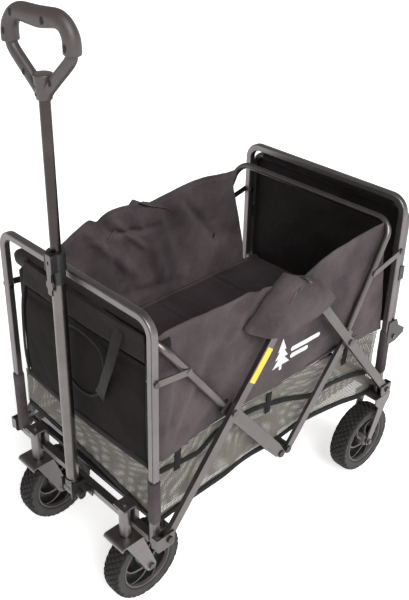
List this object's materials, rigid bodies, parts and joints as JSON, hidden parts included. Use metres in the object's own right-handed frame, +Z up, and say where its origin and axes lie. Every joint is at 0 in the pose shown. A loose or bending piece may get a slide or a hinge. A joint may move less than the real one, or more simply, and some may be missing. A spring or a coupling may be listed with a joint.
{
  "type": "folding camp wagon",
  "caption": "Folding fabric wagon: scissor arms between two end frames, sliding pull handle, swivel front wheels, fixed rear wheels and a net basket.",
  "frame": {"origin": "on the ground, midway between the foremost and rearmost points and on the centre plane", "axes": "+Z up, +X to the wagon's right side, -Y towards the front, where the pull handle is"},
  "size_m": [0.518, 0.8496, 1.206],
  "materials": {
    "frame_metal": "satin graphite powder coat",
    "arm_metal": "satin graphite powder coat",
    "bright_steel": "zinc plated",
    "black_plastic": "moulded, fine grain",
    "grip_plastic": "soft-touch moulding",
    "tyre": "chunky tread",
    "cloth": "woven polyester",
    "net": "open mesh"
  },
  "bodies": {
    "front_frame": {"front_frame_tube": "frame_metal", "front_crossbar": "frame_metal", "caster_sleeves": "frame_metal", "front_foot_brackets": "arm_metal", "front_foot_bolts": "bright_steel", "front_link_pins": "bright_steel", "handle_bracket": "frame_metal", "handle_pivot_bolt": "black_plastic", "front_panel": "cloth", "front_leg_sleeves": "cloth", "tub_sides": "cloth", "tub_floor": "cloth", "basket": "net"},
    "right_caster": {"right_caster_fork": "frame_metal", "right_caster_stem": "bright_steel", "right_caster_axle": "bright_steel"},
    "left_caster": {"left_caster_fork": "frame_metal", "left_caster_stem": "bright_steel", "left_caster_axle": "bright_steel"},
    "front_right_wheel": {"front_right_tyre": "tyre", "front_right_hub": "black_plastic"},
    "front_left_wheel": {"front_left_tyre": "tyre", "front_left_hub": "black_plastic"},
    "rear_right_wheel": {"rear_right_tyre": "tyre", "rear_right_hub": "black_plastic"},
    "rear_left_wheel": {"rear_left_tyre": "tyre", "rear_left_hub": "black_plastic"},
    "handle": {"handle_tube": "frame_metal", "handle_foot": "bright_steel", "handle_collar": "black_plastic"},
    "handle_lever": {"handle_lever": "black_plastic"},
    "handle_slider": {"handle_pole": "frame_metal", "grip_arch": "grip_plastic", "grip_base": "grip_plastic"},
    "front_arms": {"front_arms": "arm_metal", "front_cross_pins": "bright_steel"},
    "front_arch": {"front_arch": "arm_metal", "front_roll": "cloth"},
    "bottom_hubs": {"bottom_hubs": "black_plastic", "centre_frame": "frame_metal"},
    "rear_arch": {"rear_arch": "arm_metal"},
    "top_hubs": {"top_hubs": "black_plastic", "side_flaps": "cloth"},
    "rear_arms": {"rear_arms": "arm_metal", "rear_cross_pins": "bright_steel"},
    "front_links": {"short_links_front": "arm_metal"},
    "rear_links": {"short_links_rear": "arm_metal"},
    "rear_frame": {"rear_frame_tube": "frame_metal", "rear_crossbar": "frame_metal", "rear_forks": "frame_metal", "rear_axles": "bright_steel", "rear_foot_brackets": "arm_metal", "rear_foot_bolts": "bright_steel", "rear_link_pins": "bright_steel", "rear_net": "net", "tail_brackets": "frame_metal", "tail_clips": "black_plastic"},
    "tail_frame": {"tail_frame": "frame_metal", "tail_pins": "bright_steel", "tail_panel": "cloth"}
  },
  "joints": [
    {"name": "fold", "type": "hinge", "parent": "front_frame", "child": "front_arms", "pos_m": [0, -0.34475, 0.224], "axis": [1, 0, 0], "range_deg": [0, 29], "deforming": ["tub_sides", "tub_floor", "basket", "front_roll"]},
    {"name": "top_hub_turn", "type": "hinge", "parent": "front_arms", "child": "top_hubs", "pos_m": [0, 0.00075, 0.65065], "axis": [1, 0, 0], "range_deg": [-29, 0]},
    {"name": "rear_arm_turn", "type": "hinge", "parent": "top_hubs", "child": "rear_arms", "pos_m": [0, 0.02275, 0.65065], "axis": [1, 0, 0], "range_deg": [-29, 0]},
    {"name": "rear_frame_turn", "type": "hinge", "parent": "rear_arms", "child": "rear_frame", "pos_m": [0, 0.36825, 0.224], "axis": [1, 0, 0], "range_deg": [0, 29]},
    {"name": "front_arch_turn", "type": "hinge", "parent": "front_arms", "child": "front_arch", "pos_m": [0, -0.17106, 0.43849], "axis": [1, 0, 0], "range_deg": [-58, 0]},
    {"name": "bottom_hub_turn", "type": "hinge", "parent": "front_arch", "child": "bottom_hubs", "pos_m": [0, 0.00075, 0.22633], "axis": [1, 0, 0], "range_deg": [0, 29]},
    {"name": "rear_arch_turn", "type": "hinge", "parent": "bottom_hubs", "child": "rear_arch", "pos_m": [0, 0.02275, 0.22633], "axis": [1, 0, 0], "range_deg": [0, 29]},
    {"name": "front_link_turn", "type": "hinge", "parent": "front_frame", "child": "front_links", "pos_m": [0, -0.36225, 0.597], "axis": [1, 0, 0], "range_deg": [0, 72.5]},
    {"name": "rear_link_turn", "type": "hinge", "parent": "rear_frame", "child": "rear_links", "pos_m": [0, 0.36475, 0.6], "axis": [1, 0, 0], "range_deg": [-62.5, 0]},
    {"name": "right_caster_swivel", "type": "hinge", "parent": "front_frame", "child": "right_caster", "pos_m": [0.155, -0.37725, 0.22], "axis": [0, 0, 1], "continuous": true},
    {"name": "left_caster_swivel", "type": "hinge", "parent": "front_frame", "child": "left_caster", "pos_m": [-0.155, -0.37725, 0.22], "axis": [0, 0, 1], "continuous": true},
    {"name": "front_right_wheel_spin", "type": "hinge", "parent": "right_caster", "child": "front_right_wheel", "pos_m": [0.155, -0.33575, 0.089], "axis": [1, 0, 0], "continuous": true},
    {"name": "front_left_wheel_spin", "type": "hinge", "parent": "left_caster", "child": "front_left_wheel", "pos_m": [-0.155, -0.33575, 0.089], "axis": [1, 0, 0], "continuous": true},
    {"name": "rear_right_wheel_spin", "type": "hinge", "parent": "rear_frame", "child": "rear_right_wheel", "pos_m": [0.223, 0.31875, 0.089], "axis": [1, 0, 0], "continuous": true},
    {"name": "rear_left_wheel_spin", "type": "hinge", "parent": "rear_frame", "child": "rear_left_wheel", "pos_m": [-0.223, 0.31875, 0.089], "axis": [1, 0, 0], "continuous": true},
    {"name": "handle_swing", "type": "hinge", "parent": "front_frame", "child": "handle", "pos_m": [0, -0.39225, 0.212], "axis": [1, 0, 0], "range_deg": [0, 95]},
    {"name": "handle_slide", "type": "slide", "parent": "handle", "child": "handle_slider", "axis": [0, 0, 1], "range_m": [-0.25, 0]},
    {"name": "lever_flip", "type": "hinge", "parent": "handle", "child": "handle_lever", "pos_m": [0, -0.41235, 0.777], "axis": [-1, 0, 0], "range_deg": [0, 35]},
    {"name": "tail_swing", "type": "hinge", "parent": "rear_frame", "child": "tail_frame", "pos_m": [0, 0.38375, 0.366], "axis": [-1, 0, 0], "range_deg": [0, 100]}
  ],
  "couplings": [
    {"joint": "top_hub_turn", "follows": "fold", "ratio": -1},
    {"joint": "rear_arm_turn", "follows": "fold", "ratio": -1},
    {"joint": "rear_frame_turn", "follows": "fold", "ratio": 1},
    {"joint": "front_arch_turn", "follows": "fold", "ratio": -2},
    {"joint": "bottom_hub_turn", "follows": "fold", "ratio": 1},
    {"joint": "rear_arch_turn", "follows": "fold", "ratio": 1},
    {"joint": "front_link_turn", "follows": "fold", "ratio": 2.5},
    {"joint": "rear_link_turn", "follows": "fold", "ratio": -2.155}
  ]
}
